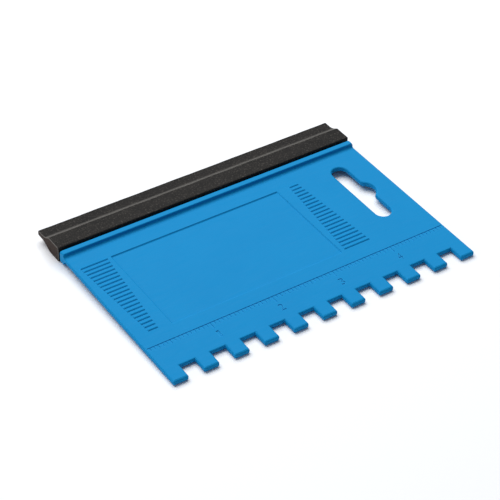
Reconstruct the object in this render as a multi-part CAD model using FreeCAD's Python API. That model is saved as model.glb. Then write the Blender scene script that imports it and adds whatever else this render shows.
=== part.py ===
# Notched adhesive spreader: a flat moulded plate with square teeth along its front edge
# and a rubber squeegee strip pushed onto a tongue along its back edge.
#
# Modelling frame: X runs across the tool and Y from the tooth tips back to the rubber lip.
# Z = 0 is the plate's mid-plane, since the bead and the tongue are the same on both faces.
# At the end the pieces move so that the origin is below the middle of the tool, at floor level.

import FreeCAD, Part
import math
import os

Vector = FreeCAD.Vector

# ---------------------------------------------------------------- driving dimensions (mm)

# plate
plate_width = 126.0           # across the tool, along the notched edge
plate_thickness = 2.0
plate_face_length = 73.9      # tooth tips to the front of the bead
edge_break = 0.25             # broken edge round the outline and the slot, on both faces

# square teeth and notches
notch_width = 6.0
notch_depth = 6.0
tooth_width = 6.0
tooth_corner_round = 0.4

# bead: the stiffening rib in front of the rubber, on both faces
bead_width = 2.4
bead_rise = 1.5
bead_edge_round = 0.4
bead_foot_radius = 1.1        # hollow fillet between the face and the bead

# tongue and bulb that hold the rubber strip
tongue_reach = 5.3            # back of the bead to the centre of the bulb
bulb_radius = 1.6
tongue_inset = 4.0            # stops this far short of each side of the plate

# rubber strip
blade_gap = 0.9               # open slit between the bead and the strip
blade_overhang = 0.25         # past each side of the plate
blade_body_length = 7.0
blade_body_height = 6.1
blade_taper_length = 3.3
blade_lip_length = 4.7
blade_lip_thickness = 2.0
blade_edge_round = 0.4
blade_tip_round = 0.6
blade_belly_round = 6.0       # underside, where the body thins towards the lip
seat_clearance = 0.02         # between the pocket and the tongue, all round

# ruler engraved in front of the panel, in inches from the left side of the plate
inch = 25.4
parts_per_inch = 16
ruler_line_y = 18.1
ruler_line_width = 0.5
engraving_depth = 0.2
tick_width = 0.35
tick_length = 1.6
eighth_tick_length = 1.9
inch_tick_length = 3.3
numeral_height = 3.3
numeral_width = 1.9
numeral_stroke = 0.4
numeral_gap = 1.3             # inch tick to the top of its numeral

# what lies between the ruler and the bead, from left to right: grip field, panel, grip field, slot
field_back_margin = 7.9       # bead to the back edge of all of them
panel_front_margin = 6.3      # ruler line to the front of the panel
side_to_grip = 1.95
grip_to_panel = 1.3
grip_to_slot = 10.75
slot_from_side = 13.75        # right side of the plate to the slot's centre line

# recessed panel
panel_depth = 0.4
panel_corner_round = 0.6
panel_rim_round = 0.2

# grip bars, each field a trapezoid of raised bars
grip_bar_pitch = 1.98
grip_bar_width = 1.1
grip_bar_rise = 0.45
grip_field_narrow = 4.0       # length of the shortest bar
grip_field_wide = 11.2        # length of the longest bar

# hang slot with a round bay on its outer side
slot_length = 33.0
slot_width = 6.5
slot_bay_radius = 4.4
slot_bay_offset = 1.5         # bay centre, outwards from the slot's centre line
slot_bay_lead_round = 0.8     # where the slot's side runs into the bay

# ---------------------------------------------------------------- places worked out from them

half_width = plate_width / 2
half_thickness = plate_thickness / 2
half_body = blade_body_height / 2
half_lip = blade_lip_thickness / 2

bead_front_y = plate_face_length
bead_back_y = bead_front_y + bead_width
bulb_y = bead_back_y + tongue_reach
blade_front_y = bead_back_y + blade_gap
taper_start_y = blade_front_y + blade_body_length
lip_start_y = taper_start_y + blade_taper_length
blade_tip_y = lip_start_y + blade_lip_length

notch_pitch = notch_width + tooth_width
notch_count = int((plate_width - tooth_width) / notch_pitch + 1e-6)

field_back_y = bead_front_y - field_back_margin
panel_front_y = ruler_line_y + panel_front_margin
panel_length = field_back_y - panel_front_y
slot_x = half_width - slot_from_side
panel_left = -half_width + side_to_grip + grip_field_wide + grip_to_panel
panel_right = slot_x - slot_width / 2 - grip_to_slot - grip_field_wide - grip_to_panel
grip_bar_count = int((panel_length - grip_bar_width) / grip_bar_pitch + 1e-6) + 1

overlap = 1.0                 # how far a cutter or a joined form runs past a face


def edges_where(shape, test):
    """Edges of a shape for which the test is true at their middle point."""
    found = []
    for edge in shape.Edges:
        middle = edge.valueAt((edge.FirstParameter + edge.LastParameter) / 2)
        if test(edge, middle):
            found.append(edge)
    return found


def along_x(outline, length):
    """Closed outline of (y, z) points, extruded along X and centred on X = 0."""
    start = [Vector(-length / 2, y, z) for y, z in outline]
    return Part.Face(Part.makePolygon(start + start[:1])).extrude(Vector(length, 0, 0))


# ---------------------------------------------------------------- plate


def plate_outline():
    """Plan outline of the plate, from the back left corner round the teeth to the back right."""
    points = [Vector(-half_width, bead_front_y, 0), Vector(-half_width, 0, 0)]
    first_centre = -(notch_count - 1) * notch_pitch / 2
    for index in range(notch_count):
        left = first_centre + index * notch_pitch - notch_width / 2
        right = left + notch_width
        points += [Vector(left, 0, 0), Vector(left, notch_depth, 0)]
        points += [Vector(right, notch_depth, 0), Vector(right, 0, 0)]
    points += [Vector(half_width, 0, 0), Vector(half_width, bead_front_y, 0)]
    return Part.makePolygon(points + points[:1])


def is_upright(edge):
    ends = [vertex.Point for vertex in edge.Vertexes]
    return len(ends) == 2 and abs(ends[0].z - ends[1].z) > plate_thickness / 8


def hang_slot():
    """Cutter for the hang slot: a round-ended slot that leads smoothly into a round bay."""
    radius = slot_width / 2
    straight = slot_length - slot_width
    front_y = field_back_y - radius - straight
    depth = plate_thickness + 2 * overlap
    floor = Vector(slot_x, front_y, -depth / 2)
    slot = Part.makeBox(slot_width, straight, depth, floor - Vector(radius, 0, 0))
    for end in (floor, floor + Vector(0, straight, 0)):
        slot = slot.fuse(Part.makeCylinder(radius, depth, end))
    bay_centre = floor + Vector(slot_bay_offset, straight / 2, 0)
    slot = slot.fuse(Part.makeCylinder(slot_bay_radius, depth, bay_centre)).removeSplitter()
    lead_reach = math.sqrt(slot_bay_radius ** 2 - (radius - slot_bay_offset) ** 2)

    def on_lead(edge, middle):
        off_bay = abs(abs(middle.y - bay_centre.y) - lead_reach)
        return is_upright(edge) and off_bay < 1e-4 and abs(middle.x - slot_x - radius) < 1e-4

    return slot.makeFillet(slot_bay_lead_round, edges_where(slot, on_lead))


def flat_plate():
    """Plate with teeth and hang slot, its outer edges broken as moulded."""
    plate = Part.Face(plate_outline()).extrude(Vector(0, 0, plate_thickness))
    plate.translate(Vector(0, 0, -half_thickness))
    tips = edges_where(plate, lambda edge, middle: is_upright(edge) and middle.y < notch_depth / 2)
    plate = plate.makeFillet(tooth_corner_round, tips)
    plate = plate.cut(hang_slot())

    def on_rim(edge, middle):
        on_face = abs(abs(middle.z) - half_thickness) < 1e-4
        return on_face and not is_upright(edge) and middle.y < bead_front_y - 1e-4

    return plate.makeChamfer(edge_break, edges_where(plate, on_rim))


def with_panel(plate):
    """The plate with its shallow panel cut in, and the panel's rim rounded."""
    corner = Vector(panel_left, panel_front_y, half_thickness - panel_depth)
    recess = Part.makeBox(panel_right - panel_left, panel_length, panel_depth + overlap, corner)
    recess = recess.makeFillet(panel_corner_round, [edge for edge in recess.Edges if is_upright(edge)])
    plate = plate.cut(recess)
    bounds = recess.BoundBox
    bounds.enlarge(1e-4)

    def on_panel_rim(edge, middle):
        return bounds.isInside(middle) and abs(middle.z - half_thickness) < 1e-4

    return plate.makeFillet(panel_rim_round, edges_where(plate, on_panel_rim))


def bead():
    """Rib across the full width on both faces, with hollow fillets at its front foot."""
    top = half_thickness + bead_rise
    core = Part.makeBox(plate_width, bead_width, 2 * top, Vector(-half_width, bead_front_y, -top))
    long_edges = edges_where(core, lambda edge, middle: abs(middle.x) < 1e-4)
    solid = core.makeFillet(bead_edge_round, long_edges)
    foot = bead_foot_radius
    for side in (-1, 1):
        face_z = side * half_thickness
        lower_z = min(face_z, face_z + side * foot)
        block = Part.makeBox(plate_width, foot, foot, Vector(-half_width, bead_front_y - foot, lower_z))
        axis_start = Vector(-half_width, bead_front_y - foot, face_z + side * foot)
        solid = solid.fuse(block.cut(Part.makeCylinder(foot, plate_width, axis_start, Vector(1, 0, 0))))
    return solid


def tongue(clearance=0.0):
    """Tongue and bulb behind the bead; with a clearance, the pocket that takes them."""
    length = plate_width - 2 * tongue_inset + 2 * clearance
    half_neck = half_thickness + clearance
    start_y = bead_back_y - overlap
    neck = Part.makeBox(length, bulb_y - start_y, 2 * half_neck, Vector(-length / 2, start_y, -half_neck))
    bulb_start = Vector(-length / 2, bulb_y, 0)
    bulb = Part.makeCylinder(bulb_radius + clearance, length, bulb_start, Vector(1, 0, 0))
    return neck.fuse(bulb)


# ---------------------------------------------------------------- grip bars


def grip_bar(length):
    """One raised bar along X, round on top, with its foot sunk into the plate."""
    half = grip_bar_width / 2
    left = Vector(-length / 2, -half, 0)
    right = Vector(-length / 2, half, 0)
    sink = Vector(0, 0, -half_thickness)
    crown = Part.Arc(left, Vector(-length / 2, 0, grip_bar_rise), right).toShape()
    foot = Part.makePolygon([right, right + sink, left + sink, left])
    return Part.Face(Part.Wire([crown] + foot.Edges)).extrude(Vector(length, 0, 0))


def grip_bars():
    """Two trapezoid fields beside the panel: the left one is widest at the back, the right one in front."""
    field_centres = (
        panel_left - grip_to_panel - grip_field_wide / 2,
        panel_right + grip_to_panel + grip_field_wide / 2,
    )
    last = grip_bar_count - 1
    bars = []
    for field, centre_x in enumerate(field_centres):
        for index in range(grip_bar_count):
            widest = last if field == 0 else 0
            share = 1 - abs(index - widest) / last
            bar = grip_bar(grip_field_narrow + share * (grip_field_wide - grip_field_narrow))
            back_bar_y = field_back_y - grip_bar_width / 2
            bar.translate(Vector(centre_x, back_bar_y - (last - index) * grip_bar_pitch, half_thickness))
            bars.append(bar)
    return bars


# ---------------------------------------------------------------- ruler


def engraving(face):
    """Cutter that sinks a flat face into the top of the plate."""
    cutter = face.extrude(Vector(0, 0, engraving_depth + overlap))
    cutter.translate(Vector(0, 0, half_thickness - engraving_depth))
    return cutter


def ruler_groove():
    """V groove across the plate that the ticks hang from."""
    half = ruler_line_width / 2
    flare = half * (1 + overlap / engraving_depth)
    outline = [
        (ruler_line_y - flare, half_thickness + overlap),
        (ruler_line_y + flare, half_thickness + overlap),
        (ruler_line_y, half_thickness - engraving_depth),
    ]
    return along_x(outline, plate_width + 2 * overlap)


def ruler_ticks():
    """Ticks every sixteenth of an inch, the eighths a little longer and the inches longest."""
    pitch = inch / parts_per_inch
    ticks = []
    for index in range(1, int((plate_width - pitch / 2) / pitch) + 1):
        length = tick_length
        if index % 2 == 0:
            length = eighth_tick_length
        if index % parts_per_inch == 0:
            length = inch_tick_length
        corner = Vector(index * pitch - half_width - tick_width / 2, ruler_line_y - length, 0)
        ticks.append(engraving(Part.makePlane(tick_width, length, corner)))
    return ticks


def arc_edge(centre_x, centre_y, radius, start, end):
    """Arc between two angles in degrees, through their middle."""
    points = []
    for angle in (start, (start + end) / 2, end):
        turn = math.radians(angle)
        points.append(Vector(centre_x + radius * math.cos(turn), centre_y + radius * math.sin(turn), 0))
    return Part.Arc(*points).toShape()


def pen_stroke(*edges):
    """Flat face that a round pen tip covers along joined edges."""
    return Part.Face(Part.Wire(list(edges)).makeOffset2D(numeral_stroke / 2))


def numeral_strokes(number):
    """Flat strokes of a plain numeral, its pen line from Y = 0 down and centred on X = 0."""
    height = numeral_height - numeral_stroke
    half = (numeral_width - numeral_stroke) / 2
    bottom = Vector(0, -height, 0)
    if number == 1:
        flag = Vector(-half, -half, 0)
        return [pen_stroke(*Part.makePolygon([flag, Vector(0, 0, 0), bottom]).Edges)]
    if number == 2:
        bowl = arc_edge(0, -half, half, 170, -30)
        side = Vector(half, 0, 0)
        foot = Part.makePolygon([bowl.Vertexes[1].Point, bottom - side, bottom + side])
        return [pen_stroke(bowl, *foot.Edges)]
    if number == 3:
        radius = height / 4
        upper = arc_edge(0, -radius, radius, 155, -90)
        lower = arc_edge(0, -3 * radius, radius, 90, -155)
        return [pen_stroke(upper, lower)]
    if number == 4:
        bar_y = -0.68 * height
        stem_x = 0.4 * half
        slant = Part.makePolygon([Vector(stem_x, 0, 0), Vector(-half, bar_y, 0), Vector(half, bar_y, 0)])
        stem = Part.makePlane(numeral_stroke, height, bottom + Vector(stem_x - numeral_stroke / 2, 0, 0))
        return [pen_stroke(*slant.Edges), stem]
    bowl = arc_edge(0, half - height, half, 90, -150)
    hook = Part.makePolygon([Vector(half, 0, 0), Vector(-half, 0, 0), Vector(-half, 2 * half - height, 0)])
    return [pen_stroke(*hook.Edges, Part.makeLine(hook.Vertexes[2].Point, bowl.Vertexes[0].Point), bowl)]


def ruler_numerals():
    """Inch numerals in front of their ticks, read from the notched side."""
    cutters = []
    top_y = ruler_line_y - inch_tick_length - numeral_gap - numeral_stroke / 2
    for number in range(1, int((plate_width - numeral_width) / inch) + 1):
        for stroke in numeral_strokes(number):
            stroke.translate(Vector(number * inch - half_width, top_y, 0))
            cutters.append(engraving(stroke))
    return cutters


# ---------------------------------------------------------------- finished pieces


def spreader_plate():
    plate = with_panel(flat_plate())
    plate = plate.cut([ruler_groove()] + ruler_ticks() + ruler_numerals())
    plate = plate.fuse([bead(), tongue()] + grip_bars())
    return plate.removeSplitter()


def squeegee_blade():
    """Rubber strip with a lip, bellied below, and a blind pocket for the tongue."""
    upper = [
        (blade_front_y, half_body),
        (taper_start_y, half_body),
        (lip_start_y, half_lip),
        (blade_tip_y, half_lip),
    ]
    lower = [(y, -z) for y, z in reversed(upper)]
    strip = along_x(upper + lower, plate_width + 2 * blade_overhang)
    for y, sides, radius in (
        (blade_front_y, (-1, 1), blade_edge_round),
        (taper_start_y, (1,), blade_edge_round),
        (taper_start_y, (-1,), blade_belly_round),
        (blade_tip_y, (-1, 1), blade_tip_round),
    ):

        def on_round(edge, middle):
            along = abs(middle.x) < 1e-4 and abs(middle.y - y) < 1e-4
            return along and any(middle.z * side > 0 for side in sides)

        strip = strip.makeFillet(radius, edges_where(strip, on_round))
    return strip.cut(tongue(seat_clearance))


os.makedirs("parts", exist_ok=True)
to_floor_centre = Vector(0, -blade_tip_y / 2, half_body)
for name, make in (("spreader_plate", spreader_plate), ("squeegee_blade", squeegee_blade)):
    piece = make()
    piece.translate(to_floor_centre)
    piece.exportStep("parts/" + name + ".step")
    print(name, "volume", round(piece.Volume, 1), "solids", len(piece.Solids), "valid", piece.isValid())
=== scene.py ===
import math

import bmesh
import bpy
from mathutils import Matrix, Vector


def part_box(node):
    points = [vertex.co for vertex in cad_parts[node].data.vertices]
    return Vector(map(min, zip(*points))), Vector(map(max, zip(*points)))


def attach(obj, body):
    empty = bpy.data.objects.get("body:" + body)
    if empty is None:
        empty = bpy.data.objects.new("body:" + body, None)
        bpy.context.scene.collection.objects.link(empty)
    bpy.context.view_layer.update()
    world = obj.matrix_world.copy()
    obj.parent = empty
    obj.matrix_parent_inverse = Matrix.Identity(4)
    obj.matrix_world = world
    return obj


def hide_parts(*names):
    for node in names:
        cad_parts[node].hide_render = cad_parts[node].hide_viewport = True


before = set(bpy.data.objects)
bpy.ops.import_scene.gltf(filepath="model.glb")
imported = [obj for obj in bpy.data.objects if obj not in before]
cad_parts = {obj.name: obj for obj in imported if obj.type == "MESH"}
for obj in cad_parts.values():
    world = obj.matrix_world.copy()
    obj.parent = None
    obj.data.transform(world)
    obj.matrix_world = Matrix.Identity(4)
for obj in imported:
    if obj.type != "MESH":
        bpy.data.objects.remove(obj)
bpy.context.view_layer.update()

scene = bpy.context.scene
metresPerMm = 0.001  # pieces are modelled in mm and brought to metres when they are finished


# sRGB hex to linear RGBA, the form that shader sockets take
def hexToLinear(code):
    channels = [int(code[i:i + 2], 16) / 255 for i in (1, 3, 5)]
    linear = [c / 12.92 if c <= 0.04045 else ((c + 0.055) / 1.055) ** 2.4 for c in channels]
    return (*linear, 1.0)


# Add a node with its settings, and its inputs as values or as links.
# With an output named, that socket comes back in place of the node.
def addNode(tree, kind, inputs=None, output=None, **settings):
    node = tree.nodes.new(kind)
    for name, value in settings.items():
        setattr(node, name, value)
    for socket, value in (inputs or {}).items():
        if isinstance(value, bpy.types.NodeSocket):
            tree.links.new(value, node.inputs[socket])
        else:
            node.inputs[socket].default_value = value
    return node if output is None else node.outputs[output]


def flatAt(face, axis, value):
    return all(abs(vert.co[axis] - value) < 1e-4 for vert in face.verts)


def vertsOf(geom):
    return [item for item in geom if isinstance(item, bmesh.types.BMVert)]


# Round the given edges, or corners of a flat outline, to a radius
def roundOver(bm, geom, radius, steps, affect="EDGES"):
    bmesh.ops.bevel(
        bm, geom=geom, offset=radius, offset_type="OFFSET", affect=affect,
        segments=steps, profile=0.5, material=-1, clamp_overlap=False)


# (sideways, down) moves that go over a quarter round, from the flat to the wall
def roundSteps(radius, steps):
    turns = [math.pi / 2 * step / steps for step in range(steps + 1)]
    return [
        (radius * (math.sin(b) - math.sin(a)), radius * (math.cos(a) - math.cos(b)))
        for a, b in zip(turns, turns[1:])
    ]


# Inset a footprint once per (sideways, down) move, which gives it a shaped wall
def sinkFace(bm, faces, moves):
    for sideways, down in moves:
        bmesh.ops.inset_region(
            bm, faces=faces, thickness=sideways, depth=-down, use_boundary=True, use_even_offset=True)


# Extrude an end face to a new Y, with its upper edge at a new height over the mid-plane.
# keepRound lifts the whole upper edge; without it the height is scaled.
def pushFace(bm, face, y, top, scaleX=1.0, keepRound=True):
    face = bmesh.ops.extrude_discrete_faces(bm, faces=[face])["faces"][0]
    oldTop = max(vert.co.z for vert in face.verts)
    for vert in face.verts:
        vert.co.y = y
        vert.co.x *= scaleX
        if vert.co.z > 1e-4:
            vert.co.z = vert.co.z + top - oldTop if keepRound else vert.co.z * top / oldTop
    return face


# Bring a bmesh in mm to its place in metres and hang it on the frame
def finishPiece(bm, name, origin, material, node, sharpAngle):
    bmesh.ops.translate(bm, vec=origin, verts=bm.verts)
    bmesh.ops.scale(bm, vec=Vector((1, 1, 1)) * metresPerMm, verts=bm.verts)
    openEdges = sum(1 for edge in bm.edges if len(edge.link_faces) != 2)
    for face in bm.faces:
        face.smooth = True
    mesh = bpy.data.meshes.new(name)
    bm.to_mesh(mesh)
    bm.free()
    mesh.set_sharp_from_angle(angle=math.radians(sharpAngle))
    piece = bpy.data.objects.new(name, mesh)
    scene.collection.objects.link(piece)
    mesh.materials.append(material)
    weighted = piece.modifiers.new("flat faces stay flat", "WEIGHTED_NORMAL")
    weighted.keep_sharp = True
    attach(piece, "root")
    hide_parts(node)
    print(name, "faces", len(mesh.polygons), "open edges", openEdges)


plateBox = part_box("spreader_plate")
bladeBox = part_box("squeegee_blade")
plateLow, plateHigh = (corner / metresPerMm for corner in plateBox)
bladeLow, bladeHigh = (corner / metresPerMm for corner in bladeBox)
plateMiddle = Vector((0, plateLow.y, (plateLow.z + plateHigh.z) / 2))  # tooth tips, mid-plane

plateValues = {
    "width": plateHigh.x - plateLow.x,
    "thickness": 2.0,
    "toothWidth": 6.0,
    "notchDepth": 6.0,
    "toothCorner": 0.6,
    "cornerSteps": 4,
    "rimRound": 0.7,
    "rimSteps": 4,
    "beadFront": 73.9,
    "beadBack": 76.3,
    "beadRound": 0.45,
    "beadSteps": 4,
    "footSteps": 6,
    "tongueInset": 4.0,
    "bulbCentre": 81.6,
    "bulbRadius": 1.6,
    "bulbEnd": 86,  # degrees round the bulb, just short of its end
    "bulbSteps": 10,
    "fieldBack": 66.0,  # back of the panel, the bars and the slot
    "slotX": 49.25,
    "slotWidth": 6.5,
    "slotLength": 33.0,
    "slotSteps": 24,
    "bayRadius": 4.4,
    "bayOffset": 1.5,
    "baySteps": 20,
    "bayLead": 0.8,
    "leadSteps": 5,
    "panelLeft": -48.55,
    "panelRight": 22.75,
    "panelFront": 24.4,
    "panelDepth": 0.45,
    "panelCorner": 0.6,
    "panelRim": 0.15,
    "panelSlope": 0.3,
    "panelFoot": (0.12, 0.06),
    "barCount": 21,
    "barPitch": 1.98,
    "barWidth": 1.1,
    "barShortest": 4.0,
    "barLongest": 11.2,
    "barToPanel": 1.3,
    "barFlank": [(0.06, -0.13), (0.12, -0.12), (0.15, -0.08), (0.17, -0.05)],  # inwards and up, four times
    "inch": 25.4,
    "inchParts": 16,
    "rulerLine": 18.1,
    "lineWidth": 0.38,
    "lineMargin": 0.05,  # the line stops this far before the rounded rim
    "tickWidth": 0.7,  # a true tick is half as wide and would not show
    "tick": 1.6,
    "eighthTick": 1.9,
    "inchTick": 3.3,
    "rulerDepth": 0.26,
    "grooveLip": 0.03,
    "grooveSlope": 0.1,
    "numeralHeight": 3.3,
    "numeralWidth": 1.9,
    "oneWidth": 0.62,  # share of that width
    "numeralTop": 13.5,
    "numeralDepth": 0.29,
    "numeralSlope": 0.06,
    "sharpAngle": 32,  # degrees
}


# (Y, half height) along the neck and then round the bulb, for a given neck and bulb
def bulbStations(plate, neck, bulb):
    firstTurn = -math.acos(neck / bulb)
    stations = []
    for step in range(plate["bulbSteps"] + 1):
        turn = firstTurn + (math.radians(plate["bulbEnd"]) - firstTurn) * step / plate["bulbSteps"]
        stations.append((plate["bulbCentre"] + bulb * math.sin(turn), bulb * math.cos(turn)))
    return stations


# Upper half of the plate as a closed slab: teeth in front, rounded rim, bead and tongue behind
def toothedSlab(bm, values):
    halfThickness = values["thickness"] / 2
    footRadius = plateHigh.z - plateMiddle.z - halfThickness - values["beadRound"]
    footStart = values["beadFront"] - footRadius
    columns = round(values["width"] / values["toothWidth"])
    bmesh.ops.create_grid(bm, x_segments=columns, y_segments=2, size=0.5)
    rows = {-1: 0.0, 0: values["notchDepth"], 1: footStart}
    for vert in bm.verts:
        vert.co = Vector((vert.co.x * values["width"], rows[round(vert.co.y * 2)], 0))
    notches = []
    for face in bm.faces:
        middle = face.calc_center_median()
        column = int((middle.x + values["width"] / 2) / values["toothWidth"])
        if middle.y < values["notchDepth"] and column % 2 == 1:
            notches.append(face)
    bmesh.ops.delete(bm, geom=notches, context="FACES")
    bmesh.ops.dissolve_limit(bm, angle_limit=0.01, verts=bm.verts, edges=bm.edges)
    raised = bmesh.ops.extrude_face_region(bm, geom=bm.faces[:])["geom"]
    bmesh.ops.translate(bm, vec=(0, 0, halfThickness), verts=vertsOf(raised))
    corners = [
        edge for edge in bm.edges
        if abs(edge.verts[0].co.z - edge.verts[1].co.z) > 0.5 and edge.verts[0].co.y < 0.1
    ]
    roundOver(bm, corners, values["toothCorner"], values["cornerSteps"])
    rim = [
        edge for edge in bm.edges
        if all(abs(vert.co.z - halfThickness) < 1e-4 for vert in edge.verts)
        and not all(abs(vert.co.y - footStart) < 1e-3 for vert in edge.verts)
    ]
    roundOver(bm, rim, values["rimRound"], values["rimSteps"])
    end = next(face for face in bm.faces if flatAt(face, 1, footStart))
    for step in range(1, values["footSteps"] + 1):  # hollow foot of the bead
        turn = math.pi / 2 * step / values["footSteps"]
        top = halfThickness + footRadius * (1 - math.cos(turn))
        end = pushFace(bm, end, footStart + footRadius * math.sin(turn), top)
    beadTop = halfThickness + footRadius
    for step in range(1, values["beadSteps"] + 1):  # round front edge
        turn = math.pi / 2 * step / values["beadSteps"]
        y = values["beadFront"] + values["beadRound"] * (1 - math.cos(turn))
        end = pushFace(bm, end, y, beadTop + values["beadRound"] * math.sin(turn))
    for step in range(values["beadSteps"] + 1):  # round back edge
        turn = math.pi / 2 * step / values["beadSteps"]
        y = values["beadBack"] - values["beadRound"] * (1 - math.sin(turn))
        end = pushFace(bm, end, y, beadTop + values["beadRound"] * math.cos(turn))
    shrink = 1 - 2 * values["tongueInset"] / values["width"]
    end = pushFace(bm, end, values["beadBack"], halfThickness, shrink, keepRound=False)
    for y, top in bulbStations(values, halfThickness, values["bulbRadius"]):
        end = pushFace(bm, end, y, top, keepRound=False)


# Turn a vertex round an upright axis and return the last vertex of the arc
def arcFrom(bm, vert, centre, degrees, steps):
    turned = bmesh.ops.spin(
        bm, geom=[vert], cent=centre, axis=(0, 0, 1), dvec=(0, 0, 0), angle=math.radians(degrees),
        steps=steps, use_merge=False, use_duplicate=False)
    return next(item for item in turned["geom_last"] if isinstance(item, bmesh.types.BMVert))


# Upper half of the hang slot's wall, its rim rounded over
def hangSlot(bm, values):
    halfThickness = values["thickness"] / 2
    rim = values["rimRound"]
    radius = values["slotWidth"] / 2 + rim
    bayRadius = values["bayRadius"] + rim
    reach = (values["slotLength"] - values["slotWidth"]) / 2
    middleY = values["fieldBack"] - values["slotLength"] / 2
    slotX = values["slotX"]
    bayCentre = Vector((slotX + values["bayOffset"], middleY, halfThickness))
    bayTurn = math.acos((radius - values["bayOffset"]) / bayRadius)
    bayReach = bayRadius * math.sin(bayTurn)
    backCentre = Vector((slotX, middleY + reach, halfThickness))
    frontCentre = Vector((slotX, middleY - reach, halfThickness))
    start = bm.verts.new(backCentre + Vector((radius, 0, 0)))
    backLeft = arcFrom(bm, start, backCentre, 180, values["slotSteps"])
    frontLeft = bm.verts.new(frontCentre - Vector((radius, 0, 0)))
    frontRight = arcFrom(bm, frontLeft, frontCentre, 180, values["slotSteps"])
    bayFront = bm.verts.new((slotX + radius, middleY - bayReach, halfThickness))
    bayBack = arcFrom(bm, bayFront, bayCentre, 2 * math.degrees(bayTurn), values["baySteps"])
    for a, b in ((backLeft, frontLeft), (frontRight, bayFront), (bayBack, start)):
        bm.edges.new((a, b))
    loop = [edge for edge in bm.edges if not edge.link_faces]
    bmesh.ops.contextual_create(bm, geom=loop)
    roundOver(bm, [bayFront, bayBack], values["bayLead"], values["leadSteps"], "VERTICES")
    face = next(f for f in bm.faces if flatAt(f, 2, halfThickness) and len(f.verts) > 60)
    sinkFace(bm, [face], roundSteps(rim, values["rimSteps"]))
    face = bmesh.ops.extrude_discrete_faces(bm, faces=[face])["faces"][0]
    for vert in face.verts:
        vert.co.z = 0


# Two fields of raised bars, the left one widest at the back and the right one in front
def gripBars(bm, values):
    top = values["thickness"] / 2
    centres = (
        values["panelLeft"] - values["barToPanel"] - values["barLongest"] / 2,
        values["panelRight"] + values["barToPanel"] + values["barLongest"] / 2,
    )
    last = values["barCount"] - 1
    for field, centreX in enumerate(centres):
        for index in range(values["barCount"]):
            widest = last if field == 0 else 0
            share = 1 - abs(index - widest) / last
            length = values["barShortest"] + share * (values["barLongest"] - values["barShortest"])
            y = values["fieldBack"] - values["barWidth"] / 2 - (last - index) * values["barPitch"]
            size = Matrix.Diagonal((length, values["barWidth"], 1, 1))
            place = Matrix.Translation((centreX, y, top)) @ size
            made = bmesh.ops.create_grid(bm, x_segments=1, y_segments=1, size=0.5, matrix=place)
            footprint = list({face for vert in made["verts"] for face in vert.link_faces})
            sinkFace(bm, footprint, values["barFlank"])


# One shallow recess with a softly sloping wall
def panelRecess(bm, values):
    top = values["thickness"] / 2
    left, right = values["panelLeft"], values["panelRight"]
    front, back = values["panelFront"], values["fieldBack"]
    size = Matrix.Diagonal((right - left, back - front, 1, 1))
    place = Matrix.Translation(((left + right) / 2, (front + back) / 2, top)) @ size
    made = bmesh.ops.create_grid(bm, x_segments=1, y_segments=1, size=0.5, matrix=place)
    roundOver(bm, made["verts"], values["panelCorner"], values["cornerSteps"], "VERTICES")
    middleX = (left + right) / 2
    face = next(f for f in bm.faces if flatAt(f, 2, top) and abs(f.calc_center_median().x - middleX) < 0.1)
    footWidth, footDepth = values["panelFoot"]
    wall = values["panelDepth"] - values["panelRim"] - footDepth
    moves = roundSteps(values["panelRim"], 3) + [(values["panelSlope"], wall), (footWidth, footDepth)]
    sinkFace(bm, [face], moves)


# Line across the plate with its ticks, as one sunk footprint
def rulerComb(bm, values):
    top = values["thickness"] / 2
    pitch = values["inch"] / values["inchParts"]
    halfTick = values["tickWidth"] / 2
    side = values["width"] / 2 - values["rimRound"] - values["lineMargin"]
    tickCount = int((values["width"] - pitch / 2) / pitch)
    cuts = [-side]
    for index in range(1, tickCount + 1):
        x = index * pitch - values["width"] / 2
        cuts += [x - halfTick, x + halfTick]
    cuts.append(side)
    made = bmesh.ops.create_grid(bm, x_segments=len(cuts) - 1, y_segments=1, size=0.5)
    for vert in made["verts"]:
        column = round((vert.co.x + 0.5) * (len(cuts) - 1))
        vert.co = Vector((cuts[column], values["rulerLine"] + vert.co.y * values["lineWidth"], top))
    faces = {face for vert in made["verts"] for face in vert.link_faces}
    frontY = values["rulerLine"] - values["lineWidth"] / 2
    frontEdges = {
        edge for face in faces for edge in face.edges
        if all(abs(vert.co.y - frontY) < 1e-4 for vert in edge.verts)
    }
    for edge in sorted(frontEdges, key=lambda e: e.verts[0].co.x + e.verts[1].co.x):
        middle = (edge.verts[0].co.x + edge.verts[1].co.x) / 2
        index = round((middle + values["width"] / 2) / pitch)
        offTick = abs(index * pitch - values["width"] / 2 - middle)
        if abs(edge.calc_length() - values["tickWidth"]) > 1e-3 or offTick > 1e-3:
            continue
        length = values["tick"]
        if index % 2 == 0:
            length = values["eighthTick"]
        if index % values["inchParts"] == 0:
            length = values["inchTick"]
        drawn = bmesh.ops.extrude_edge_only(bm, edges=[edge])["geom"]
        bmesh.ops.translate(bm, vec=(0, values["lineWidth"] / 2 - length, 0), verts=vertsOf(drawn))
        faces |= {g for g in drawn if isinstance(g, bmesh.types.BMFace)}
    comb = bmesh.ops.dissolve_faces(bm, faces=list(faces), use_verts=False)["region"]
    lip = values["grooveLip"]
    sinkFace(bm, comb, [(lip, lip), (values["grooveSlope"], values["rulerDepth"] - lip)])


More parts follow.
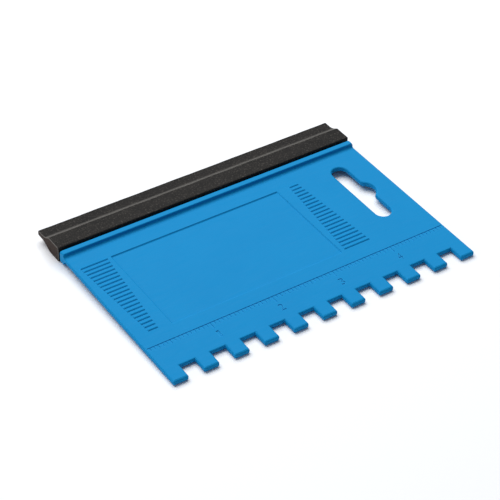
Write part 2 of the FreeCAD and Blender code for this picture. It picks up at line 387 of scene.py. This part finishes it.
# Plain inch numerals in front of their ticks, sunk like the ticks
def rulerNumerals(bm, values):
    top = values["thickness"] / 2
    lip = values["grooveLip"]
    lastNumber = int((values["width"] - values["numeralWidth"]) / values["inch"])
    for number in range(1, lastNumber + 1):
        text = bpy.data.curves.new("numeral", "FONT")
        text.body = str(number)
        text.resolution_u = 3
        holder = bpy.data.objects.new("numeral", text)
        flat = bpy.data.meshes.new_from_object(holder)
        part = bmesh.new()
        part.from_mesh(flat)
        bmesh.ops.remove_doubles(part, verts=part.verts, dist=1e-5)
        low = Vector([min(v.co[axis] for v in part.verts) for axis in (0, 1)])
        size = Vector([max(v.co[axis] for v in part.verts) for axis in (0, 1)]) - low
        width = values["numeralWidth"] * (values["oneWidth"] if number == 1 else 1)
        for vert in part.verts:
            across = (vert.co.x - low.x) / size.x - 0.5
            up = (vert.co.y - low.y) / size.y
            x = number * values["inch"] - values["width"] / 2 + across * width
            vert.co = Vector((x, values["numeralTop"] - values["numeralHeight"] * (1 - up), top))
        bmesh.ops.dissolve_limit(part, angle_limit=0.02, verts=part.verts, edges=part.edges)
        for face in part.faces:
            if face.normal.z < 0:
                face.normal_flip()
        sinkFace(part, part.faces[:], [(lip, lip), (values["numeralSlope"], values["numeralDepth"] - lip)])
        sunk = bpy.data.meshes.new("numeral")
        part.to_mesh(sunk)
        part.free()
        bm.from_mesh(sunk)
        for used in (flat, sunk):
            bpy.data.meshes.remove(used)
        bpy.data.objects.remove(holder)
        bpy.data.curves.remove(text)


# Close the plate's face at a height round every footprint that lies in it
def fillFlat(bm, height, up):
    edges = [
        edge for edge in bm.edges
        if len(edge.link_faces) == 1 and all(abs(vert.co.z - height) < 1e-4 for vert in edge.verts)
    ]
    normal = (0, 0, 1 if up else -1)
    bmesh.ops.triangle_fill(bm, use_beauty=True, use_dissolve=False, edges=edges, normal=normal)


def buildPlate(values):
    bm = bmesh.new()
    halfThickness = values["thickness"] / 2
    toothedSlab(bm, values)
    hidden = [face for face in bm.faces if flatAt(face, 2, 0) or flatAt(face, 2, halfThickness)]
    bmesh.ops.delete(bm, geom=hidden, context="FACES")
    hangSlot(bm, values)
    bmesh.ops.delete(bm, geom=[face for face in bm.faces if flatAt(face, 2, 0)], context="FACES")
    everything = bm.verts[:] + bm.edges[:] + bm.faces[:]
    bmesh.ops.mirror(bm, geom=everything, matrix=Matrix.Identity(4), merge_dist=1e-4, axis="Z")
    bmesh.ops.remove_doubles(bm, verts=bm.verts, dist=1e-4)
    print("plate shell", len(bm.faces))
    gripBars(bm, values)
    panelRecess(bm, values)
    rulerComb(bm, values)
    rulerNumerals(bm, values)
    fillFlat(bm, halfThickness, True)
    fillFlat(bm, -halfThickness, False)
    bmesh.ops.recalc_face_normals(bm, faces=bm.faces)
    return bm


bladeValues = {
    "length": bladeHigh.x - bladeLow.x,
    "front": bladeLow.y - plateLow.y,
    "tip": bladeHigh.y - plateLow.y,
    "height": bladeHigh.z - bladeLow.z,
    "bodyLength": 7.0,
    "taperLength": 3.3,
    "lipThickness": 2.0,
    "frontRound": 0.45,
    "ridgeRound": 0.25,
    "bellyRound": 6.0,
    "hollowRound": 1.6,
    "tipRound": 0.5,
    "endRound": 0.3,
    "clearance": 0.02,
    "cuts": 90,  # along the strip, so that it can wave
    "waviness": 0.07,
    "waves": [(0.21, 1.0, 0.0), (0.53, 0.6, 1.3), (1.17, 0.4, 0.4)],  # radians per mm, share, start
    "bodyWave": 0.37,  # radians per mm
    "stillEnd": 1.0,  # no waves this close to an end
    "fadeLength": 6.0,
    "sharpAngle": 32,  # degrees
}


# Moulded rubber profile along X, with a blind pocket for the plate's tongue
def buildBlade(values, plate):
    bm = bmesh.new()
    half = values["length"] / 2
    body = values["height"] / 2
    lip = values["lipThickness"] / 2
    taperStart = values["front"] + values["bodyLength"]
    lipStart = taperStart + values["taperLength"]
    upper = [(values["front"], body), (taperStart, body), (lipStart, lip), (values["tip"], lip)]
    outline = upper + [(y, -z) for y, z in reversed(upper)]
    verts = [bm.verts.new((-half, y, z)) for y, z in outline]
    face = bm.faces.new(verts)
    drawn = bmesh.ops.extrude_face_region(bm, geom=[face])["geom"]
    bmesh.ops.translate(bm, vec=(2 * half, 0, 0), verts=vertsOf(drawn))
    bmesh.ops.recalc_face_normals(bm, faces=bm.faces)
    bellyReach = values["bellyRound"] * math.tan(math.atan2(body - lip, values["taperLength"]) / 2)
    for y, side, radius, steps in (
        (values["front"], 0, values["frontRound"], 4),
        (taperStart, 1, values["ridgeRound"], 3),
        (taperStart, -1, bellyReach, 6),  # the underside bends over gently
        (lipStart, 0, values["hollowRound"], 4),
        (values["tip"], 0, values["tipRound"], 4),
    ):
        edges = [
            e for e in bm.edges
            if all(abs(v.co.y - y) < 1e-3 and v.co.z * side >= 0 for v in e.verts)
            and abs(e.verts[0].co.x - e.verts[1].co.x) > 1
        ]
        roundOver(bm, edges, radius, steps)
    ends = [e for e in bm.edges if all(abs(abs(v.co.x) - half) < 1e-3 for v in e.verts)]
    roundOver(bm, ends, values["endRound"], 3)
    for cut in range(1, values["cuts"]):
        x = -half + 2 * half * cut / values["cuts"]
        everything = bm.verts[:] + bm.edges[:] + bm.faces[:]
        bmesh.ops.bisect_plane(bm, geom=everything, dist=1e-5, plane_co=(x, 0, 0), plane_no=(1, 0, 0))
    front = [f for f in bm.faces if flatAt(f, 1, values["front"])]
    mouth = bmesh.ops.dissolve_faces(bm, faces=front, use_verts=False)["region"][0]
    neck = plate["thickness"] / 2 + values["clearance"]
    bulb = plate["bulbRadius"] + values["clearance"]
    mouthHeight = max(v.co.z for v in mouth.verts)
    mouthLength = max(v.co.x for v in mouth.verts)
    pocketHalf = plate["width"] / 2 - plate["tongueInset"] + values["clearance"]
    stations = [(values["front"], neck, pocketHalf / mouthLength)]
    stations += [(y, top, 1.0) for y, top in bulbStations(plate, neck, bulb)]
    height = mouthHeight
    for y, top, scaleX in stations:
        mouth = bmesh.ops.extrude_discrete_faces(bm, faces=[mouth])["faces"][0]
        for vert in mouth.verts:
            vert.co = Vector((vert.co.x * scaleX, y, vert.co.z * top / height))
        height = top
    calm = half - values["stillEnd"]
    for vert in bm.verts:  # soft rubber is never quite straight
        outside = vert.co.y > values["front"] + 1 and abs(vert.co.z) > lip - 0.4
        if abs(vert.co.x) < calm and outside:
            x = vert.co.x
            sway = sum(share * math.sin(x * rate + start) for rate, share, start in values["waves"])
            fade = min(1.0, (calm - abs(x)) / values["fadeLength"])
            if vert.co.y > lipStart + 1:
                vert.co.y -= values["waviness"] * fade * (sway + 2) / 2
            elif abs(vert.co.z) > body - 0.5 and vert.co.y > taperStart - 1:
                vert.co.y -= values["waviness"] * fade * math.sin(x * values["bodyWave"] + vert.co.z)
    for vert in bm.verts:  # the roundings reach up to 0.04 mm past the strip's box
        vert.co.y = min(vert.co.y, values["tip"])
        vert.co.z = max(-body, min(body, vert.co.z))
    bmesh.ops.recalc_face_normals(bm, faces=bm.faces)
    return bm


def newMaterial(name):
    material = bpy.data.materials.new(name)
    material.use_nodes = True
    material.node_tree.nodes.clear()
    return material, material.node_tree


def noiseScale(size):
    return 1 / (size * metresPerMm)  # from the size of one patch in mm


# 1 on edges, 0 on flats: how far a normal softened over a radius leaves the true one
def edgeMask(tree, radius, low, high):
    soft = addNode(tree, "ShaderNodeBevel", {"Radius": radius * metresPerMm}, "Normal", samples=6)
    true = addNode(tree, "ShaderNodeNewGeometry", None, "Normal")
    dot = addNode(tree, "ShaderNodeVectorMath", {0: soft, 1: true}, "Value", operation="DOT_PRODUCT")
    return addNode(tree, "ShaderNodeMapRange", {"Value": dot, "From Min": high, "From Max": low}, "Result")


plasticValues = {
    "colour": "#068bc6",
    "deep": "#0585c0",
    # pale is the edge colour: partly rubbing wear, partly a painted highlight, on inner corners too
    "paleAndHighlight": "#3cb0e8",
    "roughness": 0.6,
    "gloss": 0.1,
    "clouds": 22.222,  # mm, flow marks in the moulding
    "grain": 0.4545,  # mm, texture of the mould
    "scuffs": 6.25,  # mm long, a fourteenth of that wide
    "scuffTurn": 0.5,  # radians
    "scuffThinness": 14,
    "rubAndHighlightEdge": 0.5,  # mm
    "rubAndHighlightFrom": 0.97,  # cosine between the softened and the true normal where the paler edge (rubbing wear and painted highlight) starts
    "rubAndHighlightFull": 0.80,
    "relief": 0.12,
    "reliefDepth": 0.08,  # mm
}


# Injection-moulded polypropylene, satin from a spark-eroded mould: the eye sees an even, waxy blue
# with soft highlights, faint flow clouds, fine scuffs, and paler edges and inner corners that are partly
# rubbing wear and partly a painted highlight
def mouldedPolypropylene(values):
    material, tree = newMaterial("moulded polypropylene blue")
    place = addNode(tree, "ShaderNodeTexCoord", None, "Object")
    clouds = addNode(tree, "ShaderNodeTexNoise", {
        "Vector": place, "Scale": noiseScale(values["clouds"]), "Detail": 3.0, "Roughness": 0.55,
    }, "Fac")
    grain = addNode(tree, "ShaderNodeTexNoise", {
        "Vector": place, "Scale": noiseScale(values["grain"]), "Detail": 2.0,
    }, "Fac")
    scuffPlace = addNode(tree, "ShaderNodeMapping", {
        "Vector": place, "Rotation": (0, 0, values["scuffTurn"]), "Scale": (1, values["scuffThinness"], 1),
    }, "Vector")
    scuffs = addNode(tree, "ShaderNodeTexNoise", {
        "Vector": scuffPlace, "Scale": noiseScale(values["scuffs"]), "Detail": 5.0, "Roughness": 0.7,
    }, "Fac")
    tone = addNode(tree, "ShaderNodeMix", {
        "Factor": clouds, 6: hexToLinear(values["deep"]), 7: hexToLinear(values["colour"]),
    }, 2, data_type="RGBA")
    # paler edges and inner corners: rubbing wear and a painted highlight, patchy with the grain
    rubbedAndHighlitEdge = edgeMask(tree, values["rubAndHighlightEdge"], values["rubAndHighlightFull"], values["rubAndHighlightFrom"])
    grainShare = addNode(tree, "ShaderNodeMapRange", {
        "Value": grain, "From Min": 0.3, "From Max": 0.7, "To Min": 0.35, "To Max": 0.85,
    }, "Result")
    patchyRubAndHighlight = addNode(tree, "ShaderNodeMath", {0: rubbedAndHighlitEdge, 1: grainShare}, "Value", operation="MULTIPLY")
    wornAndHighlit = addNode(tree, "ShaderNodeMix", {
        "Factor": patchyRubAndHighlight, 6: tone, 7: hexToLinear(values["paleAndHighlight"]),
    }, 2, data_type="RGBA")
    roughness = addNode(tree, "ShaderNodeMapRange", {
        "Value": scuffs, "From Min": 0.3, "From Max": 0.7,
        "To Min": values["roughness"] - 0.05, "To Max": values["roughness"] + 0.08,
    }, "Result")
    height = addNode(tree, "ShaderNodeMath", {0: grain, 1: scuffs}, "Value", operation="ADD")
    bump = addNode(tree, "ShaderNodeBump", {
        "Height": height, "Strength": values["relief"], "Distance": values["reliefDepth"] * metresPerMm,
    }, "Normal")
    shader = addNode(tree, "ShaderNodeBsdfPrincipled", {
        "Base Color": wornAndHighlit, "Roughness": roughness, "Normal": bump,
        "IOR": 1.49, "Specular IOR Level": values["gloss"],
    }, "BSDF")
    addNode(tree, "ShaderNodeOutputMaterial", {"Surface": shader})
    return material


rubberValues = {
    "colour": "#161513",
    "bloom": "#272421",
    "dust": "#66615a",
    "cutEnd": "#46332a",
    # worn is the grey of the back-facing edges, the taper and the end rims: a painted highlight where the
    # key light falls, with some wiping wear
    "wornAndHighlit": "#6b6863",
    "roughness": 0.65,
    "gloss": 0.12,
    "bloomSize": 3.3333,  # mm, clouds of dusty bloom
    "bloomStretch": 0.35,  # scale along the strip, so clouds are about three times as long that way
    "pits": 0.66667,  # mm, drawn about twice as coarse as the real ones so that they show
    "rubAndHighlightEdge": 0.5,  # mm
    "rubAndHighlightFrom": 0.985,
    "rubAndHighlightFull": 0.86,
    "relief": 0.5,
    "reliefDepth": 0.1,  # mm
}


# Moulded black rubber: the eye sees a matt, warm near-black with a dusty bloom and pale specks,
# a brownish cut end, and greyed edges, taper and end rims that are a painted highlight with some wiping wear
def mouldedRubber(values):
    material, tree = newMaterial("moulded black rubber")
    place = addNode(tree, "ShaderNodeTexCoord", None, "Object")
    bloomPlace = addNode(tree, "ShaderNodeMapping", {
        "Vector": place, "Scale": (values["bloomStretch"], 1, 1),
    }, "Vector")
    bloom = addNode(tree, "ShaderNodeTexNoise", {
        "Vector": bloomPlace, "Scale": noiseScale(values["bloomSize"]), "Detail": 6.0, "Roughness": 0.7,
    }, "Fac")
    pits = addNode(tree, "ShaderNodeTexNoise", {
        "Vector": place, "Scale": noiseScale(values["pits"]), "Detail": 4.0, "Roughness": 0.75,
    }, "Fac")
    normal = addNode(tree, "ShaderNodeNewGeometry", None, "Normal")
    facing = addNode(tree, "ShaderNodeSeparateXYZ", {"Vector": normal}).outputs
    bloomShare = addNode(tree, "ShaderNodeMapRange", {
        "Value": bloom, "From Min": 0.35, "From Max": 0.75,
    }, "Result")
    dusty = addNode(tree, "ShaderNodeMix", {
        "Factor": bloomShare, 6: hexToLinear(values["colour"]), 7: hexToLinear(values["bloom"]),
    }, 2, data_type="RGBA")
    specks = addNode(tree, "ShaderNodeMapRange", {
        "Value": pits, "From Min": 0.54, "From Max": 0.7, "To Max": 0.7,
    }, "Result")
    speckled = addNode(tree, "ShaderNodeMix", {
        "Factor": specks, 6: dusty, 7: hexToLinear(values["dust"]),
    }, 2, data_type="RGBA")
    # the cut ends are browner, and their rim is greyed: a painted highlight line with some wear
    endward = addNode(tree, "ShaderNodeMath", {0: facing["X"]}, "Value", operation="ABSOLUTE")
    cutShare = addNode(tree, "ShaderNodeMapRange", {
        "Value": endward, "From Min": 0.3, "From Max": 0.8, "To Max": 0.45,
    }, "Result")
    cutEnd = addNode(tree, "ShaderNodeMix", {
        "Factor": cutShare, 6: speckled, 7: hexToLinear(values["cutEnd"]),
    }, 2, data_type="RGBA")
    rimStart = addNode(tree, "ShaderNodeMapRange", {
        "Value": endward, "From Min": 0.2, "From Max": 0.45,
    }, "Result")
    rimEnd = addNode(tree, "ShaderNodeMapRange", {
        "Value": endward, "From Min": 0.98, "From Max": 0.88,
    }, "Result")
    endRimWearAndHighlight = addNode(tree, "ShaderNodeMath", {0: rimStart, 1: rimEnd}, "Value", operation="MULTIPLY")
    # the back-facing edges and the taper, which face the key light, are greyed as a painted highlight with
    # some wiping wear, but not on the tip
    rubbedAndHighlitEdge = edgeMask(tree, values["rubAndHighlightEdge"], values["rubAndHighlightFull"], values["rubAndHighlightFrom"])
    facingKeyLight = addNode(tree, "ShaderNodeMapRange", {
        "Value": facing["Y"], "From Min": 0.2, "From Max": 0.5,
    }, "Result")
    edgeWipeAndHighlight = addNode(tree, "ShaderNodeMath", {0: rubbedAndHighlitEdge, 1: facingKeyLight}, "Value", operation="MULTIPLY")
    taperHighlight = addNode(tree, "ShaderNodeMapRange", {
        "Value": facing["Y"], "From Min": 0.3, "From Max": 0.5, "To Max": 0.55,
    }, "Result")
    notTip = addNode(tree, "ShaderNodeMapRange", {
        "Value": facing["Y"], "From Min": 0.9, "From Max": 0.7,
    }, "Result")
    taperHighlightOnly = addNode(tree, "ShaderNodeMath", {0: taperHighlight, 1: notTip}, "Value", operation="MULTIPLY")
    uneven = addNode(tree, "ShaderNodeMapRange", {
        "Value": pits, "From Min": 0.35, "From Max": 0.65, "To Min": 0.75, "To Max": 1.2,
    }, "Result")
    wornAndLitTaper = addNode(tree, "ShaderNodeMath", {0: taperHighlightOnly, 1: uneven}, "Value", operation="MULTIPLY")
    wornAndLitBack = addNode(tree, "ShaderNodeMath", {0: edgeWipeAndHighlight, 1: wornAndLitTaper}, "Value", operation="MAXIMUM")
    allWearAndHighlight = addNode(tree, "ShaderNodeMath", {0: wornAndLitBack, 1: endRimWearAndHighlight}, "Value", operation="MAXIMUM")
    wornAndHighlit = addNode(tree, "ShaderNodeMix", {
        "Factor": allWearAndHighlight, 6: cutEnd, 7: hexToLinear(values["wornAndHighlit"]),
    }, 2, data_type="RGBA")
    roughness = addNode(tree, "ShaderNodeMapRange", {
        "Value": pits, "To Min": values["roughness"] - 0.08, "To Max": values["roughness"] + 0.12,
    }, "Result")
    bump = addNode(tree, "ShaderNodeBump", {
        "Height": pits, "Strength": values["relief"], "Distance": values["reliefDepth"] * metresPerMm,
    }, "Normal")
    shader = addNode(tree, "ShaderNodeBsdfPrincipled", {
        "Base Color": wornAndHighlit, "Roughness": roughness, "Normal": bump,
        "IOR": 1.52, "Specular IOR Level": values["gloss"],
    }, "BSDF")
    addNode(tree, "ShaderNodeOutputMaterial", {"Surface": shader})
    return material


print("plate")
plateMaterial = mouldedPolypropylene(plasticValues)
finishPiece(buildPlate(plateValues), "plateMoulding", plateMiddle, plateMaterial,
            "spreader_plate", plateValues["sharpAngle"])
print("blade")
bladeMaterial = mouldedRubber(rubberValues)
finishPiece(buildBlade(bladeValues, plateValues), "rubberBlade", plateMiddle, bladeMaterial,
            "squeegee_blade", bladeValues["sharpAngle"])


floorValues = {
    "halfSize": 3.0,
    "clearance": 0.00002,
    "footBack": 0.0005,  # the strip stands just behind its rounded lower front edge
    "colour": "#fafafa",
    "roughness": 0.9,
}

# The tool rests on its teeth and its strip, so the floor slopes a little under the level plate
print("floor")
toothFoot = Vector((0, plateBox[0].y, (plateMiddle.z - plateValues["thickness"] / 2) * metresPerMm))
bladeFoot = Vector((0, bladeBox[0].y + floorValues["footBack"], bladeBox[0].z))
floorSlope = math.atan2(toothFoot.z - bladeFoot.z, bladeFoot.y - toothFoot.y)
floorBm = bmesh.new()
bmesh.ops.create_grid(floorBm, x_segments=1, y_segments=1, size=floorValues["halfSize"])
bmesh.ops.rotate(floorBm, cent=(0, 0, 0), matrix=Matrix.Rotation(-floorSlope, 3, "X"), verts=floorBm.verts)
floorPlace = bladeFoot - Vector((0, 0, floorValues["clearance"]))
bmesh.ops.translate(floorBm, vec=floorPlace, verts=floorBm.verts)
floorMesh = bpy.data.meshes.new("studioFloor")
floorBm.to_mesh(floorMesh)
floorBm.free()
floor = bpy.data.objects.new("studioFloor", floorMesh)
scene.collection.objects.link(floor)
floorMaterial, floorTree = newMaterial("matt white paper")
floorShader = addNode(floorTree, "ShaderNodeBsdfPrincipled", {
    "Base Color": hexToLinear(floorValues["colour"]), "Roughness": floorValues["roughness"],
}, "BSDF")
addNode(floorTree, "ShaderNodeOutputMaterial", {"Surface": floorShader})
floorMesh.materials.append(floorMaterial)


lightValues = {
    "room": 0.22,
    "roomColour": "#dce8ff",
    "key": 43.0,
    "keyPlace": (0.1, 0.95, 1.4),
    "keySize": (2.2, 1.5),
    "side": 1.4,
    "sidePlace": (-1.0, 0.1, 0.3),
    "sideSize": (0.8, 0.4),
}

print("light")
world = bpy.data.worlds.new("studio")
world.use_nodes = True
world.node_tree.nodes.clear()
sky = addNode(world.node_tree, "ShaderNodeBackground", {
    "Color": hexToLinear(lightValues["roomColour"]), "Strength": lightValues["room"],
}, "Background")
addNode(world.node_tree, "ShaderNodeOutputWorld", {"Surface": sky})
scene.world = world


# A rectangular area light that faces the origin
def softbox(name, place, size, power):
    lamp = bpy.data.lights.new(name, "AREA")
    lamp.shape = "RECTANGLE"
    lamp.size, lamp.size_y = size
    lamp.energy = power
    holder = bpy.data.objects.new(name, lamp)
    holder.location = place
    holder.rotation_euler = (-Vector(place)).to_track_quat("-Z", "Y").to_euler()
    scene.collection.objects.link(holder)


softbox("keySoftbox", lightValues["keyPlace"], lightValues["keySize"], lightValues["key"])
softbox("sideSoftbox", lightValues["sidePlace"], lightValues["sideSize"], lightValues["side"])


cameraValues = {
    "azimuth": -0.607534,  # radians, 0 looks along +Y
    "elevation": 0.694459,
    "roll": 0.033303,
    "distance": 0.629892,
    "target": (-0.004671, -0.003193, 0.00405),
    "lens": 127.70,
    "sensor": 36.0,
    "nearest": 0.01,
    "farthest": 20.0,
}

print("camera")
azimuth, elevation = cameraValues["azimuth"], cameraValues["elevation"]
backward = Vector((
    math.sin(azimuth) * math.cos(elevation),
    -math.cos(azimuth) * math.cos(elevation),
    math.sin(elevation),
))
level = (-backward).cross(Vector((0, 0, 1))).normalized()
upright = level.cross(-backward)
roll = cameraValues["roll"]
sideways = math.cos(roll) * level + math.sin(roll) * upright
upwards = math.cos(roll) * upright - math.sin(roll) * level
lens = bpy.data.cameras.new("camera")
lens.lens = cameraValues["lens"]
lens.sensor_width = cameraValues["sensor"]
lens.clip_start = cameraValues["nearest"]
lens.clip_end = cameraValues["farthest"]
camera = bpy.data.objects.new("camera", lens)
turn = Matrix((sideways, upwards, backward)).transposed().to_4x4()
cameraPlace = Vector(cameraValues["target"]) + backward * cameraValues["distance"]
camera.matrix_world = Matrix.Translation(cameraPlace) @ turn
scene.collection.objects.link(camera)
scene.camera = camera
scene.view_settings.view_transform = "Standard"
